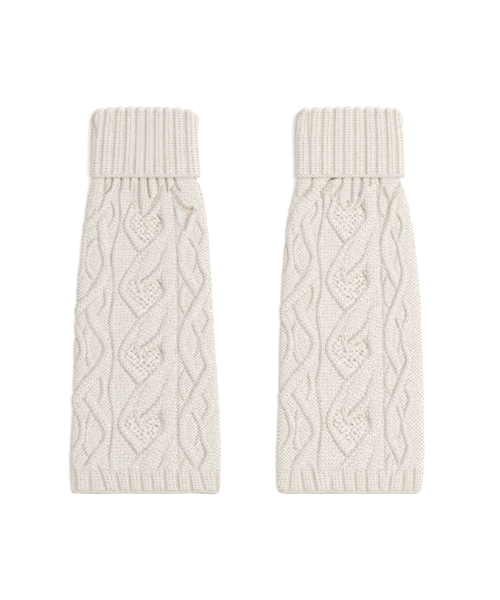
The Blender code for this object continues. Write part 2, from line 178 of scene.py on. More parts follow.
rightLattice = {
    "near": curveThrough((  # starts far out, passes over the crossing and ends under the next one
        (7.4, -15, 0.8, 0.3, 0), (7.5, -12.6, 0.8, 0.8, 0), (7.8, -10.6, 0.85, 0.9, 0),
        (8.7, -8.2, 0.95, 1, 0), (9.3, -6.4, 1.1, 1, 0), (9.1, -4.6, 1.2, 1, 0.1),
        (8.2, -2.4, 1.35, 1, 0.3), (6.9, 0.2, 1.4, 1, 0.6), (5.4, 3, 1.4, 1, 0.3),
        (4.3, 5.2, 1.35, 1, 0.1), (3.1, 7.4, 1.35, 0.9, 0.1), (2.2, 9.6, 1.3, 0.9, 0),
        (1.6, 12, 1.3, 0.9, 0), (1.4, 14.4, 1.3, 1, 0), (1.5, 16.4, 1.3, 1, 0), (2.2, 18.6, 1.3, 1, 0.1),
        (3.2, 20.6, 1.35, 1, 0.1), (4.2, 22.6, 1.35, 1, 0.1), (5.3, 24.6, 1.35, 1, 0.2),
        (6.2, 26.6, 1.2, 0.9, 0.4), (6.9, 28.2, 0.7, 0.6, 0.3),
    )),
    "thin": curvesThrough((
        (3.4, -6.6, 0.3, 0.3, 0), (2.6, -4.6, 0.7, 0.7, 0), (1.5, -1.8, 0.8, 1, 0),
        (1.2, 0.6, 0.8, 1, 0), (1.5, 2.8, 0.8, 0.9, 0), (2.4, 4.6, 0.6, 0.7, 0), (3, 6, 0.3, 0.3, 0),
    ), (  # from under the crossing, to and fro farther out
        (7.2, 1.2, 0.9, 0.3, 0), (8.6, 3.2, 0.95, 0.9, 0), (9.6, 5.2, 0.95, 1, 0),
        (9.9, 7, 0.95, 1, 0), (9.3, 8.8, 0.95, 1, 0), (8.4, 10.6, 0.9, 0.7, 0),
        (7.8, 12.4, 0.85, 0.3, 0),
    ), (  # the tie from the near strand to the far one
        (4, 5.2, 0.6, 0.2, 0), (4.9, 7.6, 0.8, 0.9, 0.1), (5.7, 9.8, 0.8, 1, 0.2),
        (6.5, 12.2, 0.7, 1, 0.2),
    )),
    "patches": curvesThrough((
        (3.4, 7.4, 0.5, 0, 0.8), (3.8, 10.4, 1.3, 0, 1), (4.2, 13.4, 1.6, 0, 1),
        (4.1, 16.2, 1.5, 0, 1), (3.9, 18.4, 0.9, 0, 0.8), (4.2, 20, 0.3, 0, 0.3),
    ), (
        (3.2, -4, 0.8, 0, 0.4), (2.9, -1, 1.5, 0, 0.5), (2.9, 1.8, 1.4, 0, 0.6), (3, 4, 0.6, 0, 0.6),
    ), (
        (7, 3.4, 0.5, 0, 0), (7.2, 5.8, 1.6, 0, 0), (7.3, 8.2, 1.2, 0, 0), (7, 10, 0.5, 0, 0),
    ), (
        (6.2, 18.4, 0.6, 0, 0), (7, 20.8, 1.5, 0, 0), (7.4, 23, 1.2, 0, 0), (7.3, 24.8, 0.5, 0, 0),
    )),
}

# what differs between the two, in mm; their rows hold: up, then from the middle out to the left edge,
# the left line, the right line and the right edge
leftLeg = {
    "name": "left",
    "middle": -112.2,
    "rows": (
        (0, 76.5, 36, 37, 80.5), (9, 78, 36, 37, 82.5), (37, 79, 36, 37, 83), (63, 77.6, 36, 36.5, 82.8),
        (114, 75.4, 36, 36.5, 80.1), (166, 73.8, 36, 36.5, 76.3), (218, 71.1, 35, 36.5, 73.6),
        (270, 65.7, 32.5, 35, 70.4), (296, 63, 28, 33.5, 67.7), (313, 60.8, 26.5, 32, 65.5),
        (331, 56.6, 26, 31.5, 61.6), (339, 55, 26, 31, 56.6), (345, 53.2, 26, 31, 54.5),
        (357, 53, 26, 31, 54),
    ),
    "cuffRows": (  # up, left edge, right edge
        (341, 57, 60.4), (344, 57.4, 61.4), (348, 57.4, 61.2), (360, 57, 60.2), (381, 56.6, 59),
        (404, 56.4, 59.6), (411, 55.8, 59.6), (417, 53.2, 57.6),
    ),
    "cuffDrop": 5.5,  # how far the fold sinks at its ends
    "tips": (328, 257, 186, 113.5, 38, -36),  # the hearts' lower tips, from the top down
    "lattices": (  # side, chart, height of a crossing, repeat in mm, width near the line and far out
        (-1, leftLattice, 209.5, 95, 1, 1),
        (1, rightLattice, 211.5, 94, 1, 1),
    ),
    "plainStrip": 0.0,  # wales out from the right line where plain purl begins, 0 for nowhere
    "cuffFurrows": (  # up, then each furrow of the cuff from the middle
        (341, -47.3, -34.9, -22.7, -10.6, 0.1, 10.9, 22.6, 34.7, 48),
        (381, -44.6, -32, -20, -9, 1.5, 11.3, 21.3, 32.8, 45.3),
        (417, -41.4, -29.9, -19.2, -8.3, 1.8, 11.3, 21.6, 32.1, 44.5),
    ),
    # across, up and half width of the cuff's crease
    "cuffCrease": ((-55.5, 412, 1), (-54.6, 405, 1.3), (-52, 395, 1.1), (-51.2, 384, 0.5)),
    "hemFurrows": (  # up, then each furrow of the hem
        (32, -78.5, -59.8, -53.5, -38.5, -17.2, -4, 6.8, 20.8, 34.8, 47.2, 57.5, 78),
        (23, -74.5, -58.8, -47, -31.2, -16.4, -4, 7.6, 21.8, 35.8, 48.8, 60.5, 78.2),
        (13, -73.6, -58.2, -43.6, -28.2, -15.4, -2.8, 8.8, 22.8, 36.8, 50.6, 63.5, 78.6),
        (0, -73, -57.4, -40.2, -25, -14, -1.2, 10.2, 24.2, 38, 51.8, 67, 79),
    ),
    # what the uppermost heart's strand starts with, in place of its upper half
    "firstLobe": ((-3.2, -6, 1.4, 0.2, 0.3), (-3.2, -1.5, 1.4, 0.3, 0.3), (-3.5, 2.2, 1.35, 0.5, 0.4)),
    "collar": ((  # puffs below the cuff: across, up, half width, furrow on the left, on the right
        (4.6, 354, 10.4, 0, 0), (4.9, 330, 10.2, 0.3, 0.5), (3.4, 320, 9, 0.7, 0.9),
        (1.8, 312, 6.4, 0.8, 1), (0.6, 306, 4, 0.9, 1), (-0.4, 300, 1.6, 1, 1),
    ), (
        (46, 354, 11, 0, 0), (47.6, 330, 12, 0.3, 0), (47.5, 321, 12.3, 1, 0),
        (49.3, 313, 8.8, 1, 0.5), (51, 307, 3.4, 1, 0.9),
    ), (
        (-47.6, 354, 5.6, 0, 0), (-48.4, 335, 5.9, 0, 0.5), (-51, 322, 6.5, 0, 0.8),
        (-52, 313, 5, 0.2, 0.9), (-53, 306, 1.8, 0.6, 0.9),
    )),
    "creases": (  # half width and depth, then across and up along its line
        (1, 0.8, (-41.4, 343), (-42.5, 333), (-43.6, 325)),
        (1.1, 0.95, (-33.8, 343), (-34.9, 335), (-36.2, 330), (-39.2, 327), (-43, 323.5)),
        (1.3, 1, (-24, 343), (-24.6, 335), (-25.4, 330), (-27.2, 326)),
        (1, 0.9, (-14.4, 343), (-14.9, 335), (-15.5, 327)),
        (1.2, 0.95, (-5.2, 343), (-5.5, 332), (-5.8, 323), (-5.4, 314), (-4, 305)),
        (1.1, 0.95, (4, 343), (4.2, 334), (5.2, 327), (6.6, 318)),
        (1.2, 0.95, (13.7, 343), (14.8, 334), (15.5, 328), (14, 322), (10.4, 316), (7, 309)),
        (1.1, 0.95, (23.4, 343), (24.5, 334), (25.8, 325)),
        (1.2, 1, (32.4, 343), (34, 336), (35.5, 331), (40, 327)),
        (1.5, 1, (29, 329), (34, 320), (38, 314), (43, 309.5), (48.2, 307.5), (54, 309)),
        (1.3, 0.9, (52.6, 309), (48, 300), (45, 292), (43.5, 284)),
        (0.9, 0.45, (-6, 322), (-10, 317), (-14, 312)),
        (1, 0.6, (-10.2, 311), (-11, 305), (-12, 297)),
    ),
}
rightLeg = {
    "name": "right",
    "middle": 111.3,
    "rows": (
        (0, 75.5, 34, 36.5, 73.5), (9, 78.5, 34, 36.5, 77.5), (37, 79, 34, 36.5, 79.6),
        (63, 78.1, 34, 36.5, 79.6), (114, 76.4, 35, 36, 79.1), (166, 75.4, 35, 35.5, 77.5),
        (218, 73.7, 34.5, 34, 74.8), (270, 70, 34, 32, 69.9), (296, 67, 33, 31, 65.6),
        (313, 63.5, 31, 29, 62.3), (331, 58.5, 30.5, 28, 56.9), (339, 56.6, 30.5, 27.5, 53.2),
        (345, 55.8, 30, 27, 51.8), (357, 55.6, 30, 27, 51.4),
    ),
    "cuffRows": (
        (341, 59, 58), (344, 59.4, 58.8), (348, 59.4, 58.6), (360, 59.4, 58), (381, 59.8, 57.8),
        (404, 59.4, 56.8), (411, 57.6, 55.8), (417, 53.6, 53.4),
    ),
    "cuffDrop": 2.6,
    "tips": (340, 267, 193.5, 119, 35.5, -40),
    "lattices": (
        (-1, leftLattice, 214.5, 95.5, 0.95, 1),
        (1, rightLattice, 219, 95, 0.95, 0.82),
    ),
    "plainStrip": 8.2,
    "cuffFurrows": (
        (341, -44.6, -31.7, -18.7, -7.9, 4, 15.9, 27.7, 39.6, 50.4),
        (381, -44.6, -31.7, -18.7, -7.9, 4, 15.9, 27.7, 39, 49.4),
        (417, -41.8, -30, -18, -7.5, 4, 14.6, 25.6, 37, 46),
    ),
    "cuffCrease": ((-46, 412, 0.8), (-46.6, 400, 1.3), (-46.2, 388, 1.2), (-45.4, 374, 0.5)),
    "hemFurrows": (
        (32, -63.5, -55, -43, -22.5, -9.8, 3.8, 15.8, 28.8, 46.5, 58.8, 68.8),
        (13, -66, -52.1, -39.2, -20.8, -7.9, 5.1, 17, 29.9, 42.3, 57, 67.9),
        (0, -67, -49.6, -36, -19.5, -6.2, 6.4, 18.2, 31.2, 41, 56, 67.3),
    ),
    "firstLobe": ((-3.4, -6, 1.5, 0.4, 0.2), (-4.8, -1, 1.5, 0.5, 0.5), (-5.9, 4.4, 1.4, 0.4, 0.5)),
    "collar": ((
        (0.5, 354, 4.4, 0, 0), (-5, 332, 5, 0.6, 0.4), (-8, 322, 5, 0.6, 0.5),
        (-8.2, 316, 4, 0.7, 0.6), (-6, 309, 1.6, 1, 0.9),
    ), (
        (6, 354, 4.8, 0, 0), (5.6, 330, 4.7, 0.4, 0.6), (4, 320, 4.2, 0.5, 0.9),
        (1.5, 313, 3, 0.7, 1), (-1.5, 307, 1.4, 0.9, 1),
    ), (
        (-47, 354, 6, 0, 0), (-49.5, 335, 6.2, 0, 0.8), (-52.5, 325, 5.2, 0.3, 0.9),
        (-55.5, 317, 1.8, 0.8, 1),
    ), (
        (-20, 354, 7, 0.2, 0.2), (-29.5, 337, 7.6, 0.7, 0.7), (-38.5, 326, 7.4, 1, 0.5),
        (-46.5, 317, 6.8, 1, 0.3), (-53.5, 308, 6.2, 0.8, 0.3), (-59, 297, 5.4, 0.4, 0.4),
        (-63, 286, 4.4, 0.2, 0.4),
    ), (
        (42.8, 354, 10.6, 0, 0), (42.2, 334, 9, 0.5, 0.7), (42, 327, 6.6, 1, 0.9),
        (41.8, 321, 3.4, 1, 1), (41.4, 315, 1.2, 1, 1),
    )),
    "creases": (
        (1.1, 0.9, (-8.9, 343), (-10, 335), (-12.2, 330.5), (-15.4, 326), (-18.4, 320)),
        (1.1, 0.85, (1.8, 343), (1, 333), (0.8, 324), (0.4, 313)),
        (1.3, 1, (12, 343), (11.4, 335), (10.5, 328), (8, 320)),
        (1, 0.8, (21.3, 343), (20.8, 337), (20.4, 331)),
        (1.3, 1, (31, 343), (31, 335), (31, 326)),
        (1.6, 1, (-16, 342.5), (-23.5, 338), (-27.5, 331), (-31.5, 326), (-31, 318)),
        (1.1, 0.9, (-41.3, 343), (-43.2, 331), (-47.5, 326), (-52, 320)),
        (1.2, 0.9, (35, 330), (37, 324), (40.5, 317.5), (41, 309), (37.5, 296), (34, 286)),
        (1.1, 0.8, (51.5, 334), (48, 328), (44, 319), (41, 311)),
    ),
}
legs = (leftLeg, rightLeg)

# how far things stand out of the wall, in mm, and how strands, ribs and stitches lie in it
relief = {
    "bold": 2.9,
    "thin": 2.5,
    "patch": 2.1,
    "panel": 2.1,
    "moss": 1.25,
    "ground": 1.6,
    "panelRidge": 0.35,
    "ridgePlace": (1.1, 0.75),  # wales in from the panel's lines, and half its width
    "lineWidth": 0.36,  # half the width of those lines, in wales
    "cuffRib": 1.7,
    "hemRib": 1.75,
    "gather": 2.3,
    "edge": 1.4,
    "uneven": 0.4,
    "shoulder": 0.65,  # how high a strand's edge is where it has no furrow
    "roundness": 2.3,  # 2 makes a strand round, more makes it flat on top
    "furrow": (0.8, 0.7),  # how wide a strand's furrow is, and how much wider a full one, in mm
    "widen": 1.12,
    "scallop": 0.06,  # how much each course swells a strand's edges
    "fadeIn": 3.0,  # courses over which a strand rises out of the knit
    "fadeOut": 1.4,
    "warp": 0.24,  # how far the chart wanders, in wales
    "stitch": 0.14,  # puff of one stitch
    "purlStitch": 0.16,
    "mossStitch": 0.5,
    "lineSway": 0.6,  # how far the panel's left line sways, in wales
    "waleMm": 3.6,  # the charts' wale; the yarn's own are broader by 1 / yarnWales
    "yarnWales": 0.84,
    "courseMm": 3.45,
    "ribCourse": 0.88,  # the ribs' courses against the leg's
    "hemFurrow": 1.35,  # half widths of the ribs' furrows in mm, and the share of a rib that is purl
    "cuffFurrow": 1.05,
    "hemPurl": 0.2,
    "cuffPurl": 0.26,
    "heartShade": (1.0, 0.1),  # how dark the painted shade in the heart's crease is, and how much less at each lower heart
    # painted shade in the gathers' creases and in the cuff's crease
    "creaseShade": 0.35,
    "cuffCreaseShade": 0.5,
    "underCuffShade": 0.4,
    "shadeRows": 4,  # painted shade: a place is shaded by how far it lies below the mean of this many rows around
    "shadeDepth": (1.6, 0.7),  # in mm, and how much painted shade that gives
    "lowShade": (0.8, 0.35),  # the same painted shade for lying near the wall itself
}
knit, purl, mossKind = 0.0, 1.0, 2.0
mossPitch = (1.25, 1.15)  # half waves of moss beads to a wale and to a course


# where points lie beside a strand: the offset in half widths (minus on its left), the half width,
# the furrow on that side and the course along it, taken from the nearest piece of its line
def besideStrand(strand, wale, course):
    found = [np.full(wale.shape, first) for first in (9.0, 1.0, 0.0, 0.0)]
    for start, end in zip(strand, strand[1:]):
        dw, dc = end[0] - start[0], end[1] - start[1]
        along = ((wale - start[0]) * dw + (course - start[1]) * dc) / (dw * dw + dc * dc)
        along = np.clip(along, 0.0, 1.0)
        offWale = wale - start[0] - along * dw
        offCourse = course - start[1] - along * dc
        half, leftFurrow, rightFurrow = (start[k] + along * (end[k] - start[k]) for k in (2, 3, 4))
        share = np.hypot(offWale, offCourse) / half
        nearer = share < np.abs(found[0])
        rightSide = offWale * dc - offCourse * dw > 0
        offset = np.where(rightSide, share, -share)
        furrow = np.where(rightSide, rightFurrow, leftFurrow)
        values = (offset, half, furrow, start[1] + along * dc)
        found = [np.where(nearer, new, old) for new, old in zip(values, found)]
    return found


# the rows (axis 1) or columns (axis 0) where values come within reach of a line's own
def windowOf(values, line, reach, axis):
    near = (values > line.min() - reach) & (values < line.max() + reach)
    hits = np.nonzero(near.any(axis=axis))[0]
    return slice(hits[0], hits[-1] + 1) if len(hits) else None


# a strand laid over the knit: a round top inside it; outside, the old height dips to the furrow
# at its edge as e^-(d/w)^2, or runs on where the furrow is slight; it fades in and out at its ends
def layStrand(chart, strand, rise, wale, course, sign=1, ownsStitches=True, clear=None):
    rows = windowOf(course, strand[:, 1], 3.2, 1)
    columns = rows and windowOf(wale[rows], strand[:, 0], 5, 0)
    if columns is None:
        return
    block = (rows, columns)
    offset, half, furrow, along = besideStrand(strand, wale[block], course[block])
    wander = 0.85 + 0.25 * unevenness(wale[block], course[block], 9.0, sign + 2.0)
    furrow = np.clip(furrow * wander, 0.0, 1.0)
    share = np.abs(offset) / relief["widen"] * (1 + relief["scallop"] * np.cos(2 * math.pi * along))
    half = half * relief["widen"]
    old = chart["height"][block]
    edge = rise * (relief["shoulder"] - relief["shoulder"] * furrow)
    away = (share - 1) * half * relief["waleMm"]
    top = edge + (rise - edge) * (1 - np.minimum(share, 1) ** relief["roundness"]) ** 0.7
    width = relief["furrow"][0] + relief["furrow"][1] * furrow
    beside = old + (np.minimum(edge, old) - old) * np.exp(-((away / width) ** 2))
    new = np.where(share < 1, top, beside)
    shown = smoothstep(strand[0, 1], strand[0, 1] + relief["fadeIn"], along)
    shown = shown * smoothstep(strand[-1, 1], strand[-1, 1] - relief["fadeOut"], along)
    if clear is not None:
        shown = shown * clear[block]
    chart["height"][block] = old + (new - old) * shown
    if not ownsStitches:
        return
    corners = stitchCorners(offset * half * sign * relief["yarnWales"], along)
    inside = (faceMeans(share) < 1) & (faceMeans(shown) > 0.5)
    faces = tuple(slice(part.start, part.stop - 1) for part in block)
    chart["stitches"][faces][inside] = corners[inside]
    chart["kind"][faces][inside] = knit


# the values at the four corners of every face of a grid
def cornersOf(grid):
    return np.stack([grid[:-1, :-1], grid[:-1, 1:], grid[1:, 1:], grid[1:, :-1]], axis=2)


# the mean of those four
def faceMeans(grid):
    return cornersOf(grid).mean(axis=-1)


# wales and courses at the corners of every face: the yarn's coordinates
def stitchCorners(wales, courses):
    return cornersOf(np.stack([wales, courses], axis=-1))


# furrows between broad ribs: rise * (1 - e^-(d/w)^2), with d the way to the nearest furrow;
# gives the height and how many furrows lie to the left, as a number that runs on evenly
def furrowedRibs(across, furrows, rise, width, round=0.18):
    nearest = np.full(across.shape, 99.0)
    for line in furrows:
        nearest = np.minimum(nearest, np.abs(across - line))
    turns = np.zeros(across.shape)
    beyond = 12  # ribs assumed past the outermost furrows, as wide as the last one
    edges = [furrows[0] - beyond * (furrows[1] - furrows[0]), *furrows]
    edges.append(furrows[-1] + beyond * (furrows[-1] - furrows[-2]))
    steps = [-beyond, *range(len(furrows)), len(furrows) + beyond - 1]
    for k in range(len(edges) - 1):
        part = (across - edges[k]) / (edges[k + 1] - edges[k])
        inside = (part >= 0) & (part < 1)
        turns = np.where(inside, steps[k] + part * (steps[k + 1] - steps[k]), turns)
    dome = 1 - round + round * np.sin(math.pi * (turns - np.floor(turns))) ** 0.6
    depth = np.clip(0.82 + 0.22 * unevenness(2 * across, 0 * across - nearest, 23.0, width), 0, 1)
    return rise * dome * (1 - depth * np.exp(-((nearest / width) ** 2))), turns, nearest


# the stitch across a rib: whole knit wales between furrows one purl wale wide
def ribWales(turns, wales, furrow):
    whole = np.floor(turns)
    stops = (0.0, furrow / 2, 1 - furrow / 2, 1.0)
    return (wales + 1) * whole + np.interp(turns - whole, stops, (-0.5, 0.0, wales, wales + 0.5))


# the leg's and hem's front: cable panels, gathers under the cuff, ribs at the hem
def legChart(leg, across, up):
    _, leftLine, rightLine, _ = readRows(leg["rows"], up)
    tips = np.array(leg["tips"][::-1])
    course = heart["courses"] * np.interp(up, tips, np.arange(len(tips))[::-1])
    course = course - np.maximum(up - tips[-1], 0) / relief["courseMm"] - 0 * across
    waleWidth = (rightLine + leftLine) / 2 / heart["panelWales"]
    wale = (across - (rightLine - leftLine) / 2) / waleWidth
    wander = unevenness(across, up, 26.0, leg["middle"]) + 0.35 * unevenness(across, up, 8.0, 3.0)
    wale = wale + relief["warp"] * wander
    wander = unevenness(across, up, 22.0, leg["middle"] + 5) + 0.3 * unevenness(across, up, 7.0, 1.0)
    course = course + relief["warp"] * wander
    sway = relief["lineSway"] * np.cos(2 * math.pi * course / heart["courses"])
    edge = heart["panelWales"]
    outs = {-1: -wale - edge - sway, 1: wale - edge}
    toLine = np.minimum(np.abs(outs[-1]), np.abs(outs[1]))
    inPanel = (outs[-1] < 0) & (outs[1] < 0)
    place, width = relief["ridgePlace"]
    ridge = relief["panelRidge"] * np.exp(-(((toLine - place) / width) ** 2))
    lineDepth = 0.72 + 0.28 * unevenness(0.2 * across, up, 31.0, leg["middle"] + 2)
    furrow = 1 - lineDepth * np.exp(-((toLine / relief["lineWidth"]) ** 2))
    chart = {
        "height": np.where(inPanel, relief["panel"] + ridge, relief["ground"]) * furrow,
        "stitches": stitchCorners(wale * relief["yarnWales"], course),
        "kind": np.where(faceMeans(inPanel) > 0.5, knit, purl),
        # deep holds the shade painted into creases and under the cuff
        "deep": np.zeros(wale.shape),
    }
    for tip in range(1, len(leg["tips"])):
        layMoss(chart, wale, course - tip * heart["courses"])
    for tip in range(len(leg["tips"])):
        down = course - tip * heart["courses"]
        lobe = heart["lobe"]
        if not tip:  # the uppermost heart has only its lower half
            lobe = np.vstack([leg["firstLobe"], lobe[lobe[:, 1] > 7]])
        for strand in [heart["arch"], lobe, heart["band"]] if tip else [lobe]:
            layStrand(chart, strand, relief["bold"], wale, down)
        if tip:
            strongestShade, less = relief["heartShade"]
            pressCrease(chart, heart["gap"], wale, down, strongestShade - less * tip)
    for side, lattice, crossing, repeatMm, nearWidth, farWidth in leg["lattices"]:
        out = outs[side]
        far = smoothstep(0.0, 7.0, out)
        out = out / (nearWidth + (farWidth - nearWidth) * far)
        down = (crossing - up) * latticeCourses / repeatMm + relief["warp"] * wander
        clear = smoothstep(-0.05, 0.35, outs[side])
        for rise, strands, owns in (
            (relief["patch"], lattice["patches"], False),
            (relief["thin"], lattice["thin"], True),
            (relief["bold"], [lattice["near"]], True),
        ):
            for repeat in range(-2, 4)[::side]:  # on the left, the upper strand lies over the lower
                for strand in strands:
                    below = down - repeat * latticeCourses
                    layStrand(chart, strand, rise, out, below, side, owns, clear)
    if leg["plainStrip"]:
        strip = smoothstep(leg["plainStrip"], leg["plainStrip"] + 0.5, outs[1])
        chart["height"] = blend(chart["height"], relief["ground"], strip)
        chart["kind"][faceMeans(strip) > 0.5] = purl
    gatherRibs(chart, leg, across, up)
    hemRibs(chart, leg, across, up, course)
    return chart


# a soft trough along a line: height * (1 - depth e^-(d/w)^2), with painted shade where it is deepest
def pressCrease(chart, crease, across, down, shadeAmount):
    rows = windowOf(down, crease[:, 1], 3 * crease[:, 2].max(), 1)
    if rows is None:
        return
    share, _, depth, _ = besideStrand(crease, across[rows], down[rows])
    hole = depth * np.exp(-(share**2))
    chart["height"][rows] = chart["height"][rows] * (1 - hole)
    # painted shade in the bottom of the crease
    chart["deep"][rows] += shadeAmount * smoothstep(0.55, 0.95, hole)


# the heart's filling: a soft hollow of moss stitch
def layMoss(chart, wale, course):
    share = np.abs(besideStrand(heart["moss"], wale, course)[0])
    inside = smoothstep(1.15, 0.85, share)
    chart["height"] = blend(chart["height"], relief["moss"], inside)
    faces = faceMeans(share) < 1
    chart["kind"][faces] = mossKind
    loose = unevenness(wale, course, 2.7, 2.0)
    chart["stitches"][faces] += stitchCorners(loose * 0.5, loose * 0.35)[faces]


# puffs of knit that come out from under the cuff, and the creases between them
def gatherRibs(chart, leg, across, up):
    fromCuff = wall["cuffEdge"] - up
    sideways, down = across / relief["waleMm"], -up / relief["courseMm"] + 0 * across
    for strand in leg["collar"]:
        strand = np.array(strand, float)
        strand = curveThrough(strand / (relief["waleMm"], -relief["courseMm"], relief["waleMm"], 1, 1))
        layStrand(chart, strand, relief["bold"], sideways, down)
    gathered = smoothstep(8.0, 2.0, fromCuff) - 0 * across
    chart["height"] = blend(chart["height"], relief["gather"], gathered)
    for width, depth, *line in leg["creases"]:
        line = curveThrough([(x, -y, width * 1.25, depth, depth) for x, y in line])
        line[-1, 3:] = 0.0
        pressCrease(chart, line, across, -up + 0 * across, relief["creaseShade"])
    # painted shade under the cuff's edge, and stronger painted shade in the creases near it
    chart["deep"] *= 1 + 0.8 * smoothstep(6.0, 1.0, fromCuff)
    chart["deep"] += relief["underCuffShade"] * smoothstep(2.4, 0.8, fromCuff)
    chart["kind"][faceMeans(gathered) > 0.3] = knit


# the hem's ribs, three wales each, which lean a little, and its cast-off edge
def hemRibs(chart, leg, across, up, course):
    furrows = readRows(leg["hemFurrows"][::-1], up)
    height, turns, nearest = furrowedRibs(across, furrows, relief["hemRib"], relief["hemFurrow"])
    edge = smoothstep(3.4, 2.4, up) + 0 * across
    height = blend(height, relief["edge"], edge)
    height = height * (1 - 0.55 * np.exp(-(((up - 3.1) / 0.7) ** 2)))  # the line above the cast-off row
    starts = wall["hemTop"] + 5.0 * unevenness(across, 0 * across, 17.0, 4.0)
    inHem = smoothstep(starts + 8.0, starts - 8.0, up + 0 * across)
    chart["height"] = blend(chart["height"], height, inHem)
    ribbed = faceMeans(inHem) > 0.5
    stitches = stitchCorners(ribWales(turns, 3, relief["hemPurl"]), course / relief["ribCourse"])
    chart["stitches"][ribbed] = stitches[ribbed]
    inPurl = (faceMeans(nearest) < 1.5) | (faceMeans(edge) > 0.5)
    chart["kind"][ribbed] = np.where(inPurl, purl, knit)[ribbed]


# the cuff's ribs, two wales each, between furrows that fan out downwards
def cuffChart(leg, across, up):
    table = np.array(leg["cuffFurrows"], float)
    furrows = [np.interp(up, table[:, 0], table[:, k]) for k in range(1, table.shape[1])]
    top = smoothstep(*wall["foldRibs"], up)  # rounder ribs where the cuff folds over
    rise = relief["cuffRib"] * (1 + 0.3 * top)
    height, turns, nearest = furrowedRibs(across, furrows, rise, relief["cuffFurrow"], 0.2 + 0.72 * top)
    edge = smoothstep(wall["cuffEdge"] + 4.6, wall["cuffEdge"] + 2.2, up) + 0 * across
    inPurl = (faceMeans(nearest) < 1.5) | (faceMeans(edge) > 0.5)
    down = -up + 0 * across
    chart = {
        "height": blend(height, relief["edge"], edge),
        "stitches": stitchCorners(ribWales(turns, 2, relief["cuffPurl"]), down),
        "kind": np.where(inPurl, purl, knit),
        "deep": np.zeros(across.shape),
    }
    crease = curveThrough([(x, -y, width, 0.8, 0.8) for x, y, width in leg["cuffCrease"]])
    pressCrease(chart, crease, across, down, relief["cuffCreaseShade"])
    return chart


# the puff of every stitch: knit legs slant, purl beads and moss seeds alternate as cos u cos v
def stitchPuff(stitches, kind):
    u, v = stitches[..., 0], stitches[..., 1]
    inWale = np.abs(u - np.floor(u) - 0.5) * 2
    legsUp = np.cos(2 * math.pi * (v + 0.5 * inWale))
    column = np.cos(math.pi * inWale)
    beads = np.cos(2 * math.pi * u) * np.cos(2 * math.pi * v)
    waves = np.cos(math.pi * mossPitch[0] * u) * np.cos(math.pi * mossPitch[1] * v)
    seeds = 0.5 - ((1 - waves) / 2) ** 2.2
    flat = kind[..., None]
    knitPuff = (0.25 * column + 0.75 * legsUp) * relief["stitch"]
    puff = np.where(flat == knit, knitPuff, beads * relief["purlStitch"])
    return np.where(flat == mossKind, seeds * relief["mossStitch"], puff)


# corner values of the faces averaged onto the grid's points
def toPoints(corner, shape):
    total, count = np.zeros(shape), np.zeros(shape)
    low, high = slice(None, -1), slice(1, None)
    for k, place in enumerate(((low, low), (low, high), (high, high), (high, low))):
        total[place] += corner[..., k]
        count[place] += 1
    return total / count


# a box blur by running sums, wide steps each way
def blurred(grid, wide):
    for axis in (0, 1):
        padded = np.pad(grid, [(wide + 1, wide) if k == axis else (0, 0) for k in (0, 1)], mode="edge")
        sums = np.cumsum(padded, axis=axis)
        count = grid.shape[axis]
        high = np.take(sums, np.arange(2 * wide + 1, 2 * wide + 1 + count), axis=axis)
        low = np.take(sums, np.arange(0, count), axis=axis)
        grid = (high - low) / (2 * wide + 1)
    return grid


# how finely the walls are divided: columns round them, and rows by their spacing in mm
mesh = {
    "foldColumns": 12,  # of the front, on each side fold
    "legColumns": 188,  # of the front, between the folds
    "legRow": 0.8,
    "hemColumns": 250,
    "hemRow": 0.6,
    "cuffColumns": 190,
    "cuffRow": 0.6,
    "backColumns": 14,
    "backFold": 4,
    "insideRows": 9,
    "margin": 7,  # rows charted beyond both ends, so that two pieces meet without a step
}


# a flattened loop by the angle round each fold: x = edge + r(1 - cos), z = half sin, straight between
def ringShape(columns):
    turn = np.linspace(0, math.pi / 2, mesh["foldColumns"] + 1)
    backTurn = np.linspace(0, math.pi / 2, mesh["backFold"] + 1)
    middle = np.linspace(0, 1, columns)
    back = np.linspace(1, 0, mesh["backColumns"] + 2)[1:-1]
    parts = [  # share across, angle round the fold, front (1) or back (-1)
        (0.0, turn, 1.0),
        (middle[1:-1], math.pi / 2, 1.0),
        (1.0, turn[::-1], 1.0),
        (1.0, backTurn[1:], -1.0),
        (back, math.pi / 2, -1.0),
        (0.0, backTurn[:0:-1], -1.0),
    ]
    return tuple(np.concatenate(column) for column in zip(*(np.broadcast_arrays(*part) for part in parts)))


# rings of points: each station's loop, moved outwards by its relief, leaning to +Y round a fold
def ringPoints(shape, stations, height, middle):
    share, angle, front = shape
    up, left, right, midZ, half, rounding, strength, lean = [s[:, None] for s in stations.T]
    cosine, sine = np.cos(angle), np.sin(angle)
    straight = -left + rounding + share * (left + right - 2 * rounding)
    x = straight - (1 - 2 * share) * rounding * cosine
    z = midZ + front * half * sine
    size = np.hypot(cosine * half, sine * rounding)
    outX = (2 * share - 1) * cosine * half / size
    outZ = front * sine * rounding / size
    ahead = wall["foldRelief"] + (1 - wall["foldRelief"]) * smoothstep(0.0, 0.9, outZ)
    fade = ahead * smoothstep(-0.75, -0.05, outZ)
    fade = fade + (1 - fade) * np.maximum(np.sin(lean), 0.0) ** 3
    raised = strength * height * fade
    return np.stack([
        middle + x + outX * raised * np.cos(lean),
        up + raised * np.sin(lean) - wall["length"] / 2 + 0 * x,
        z + outZ * raised * np.cos(lean),
    ], axis=-1), x
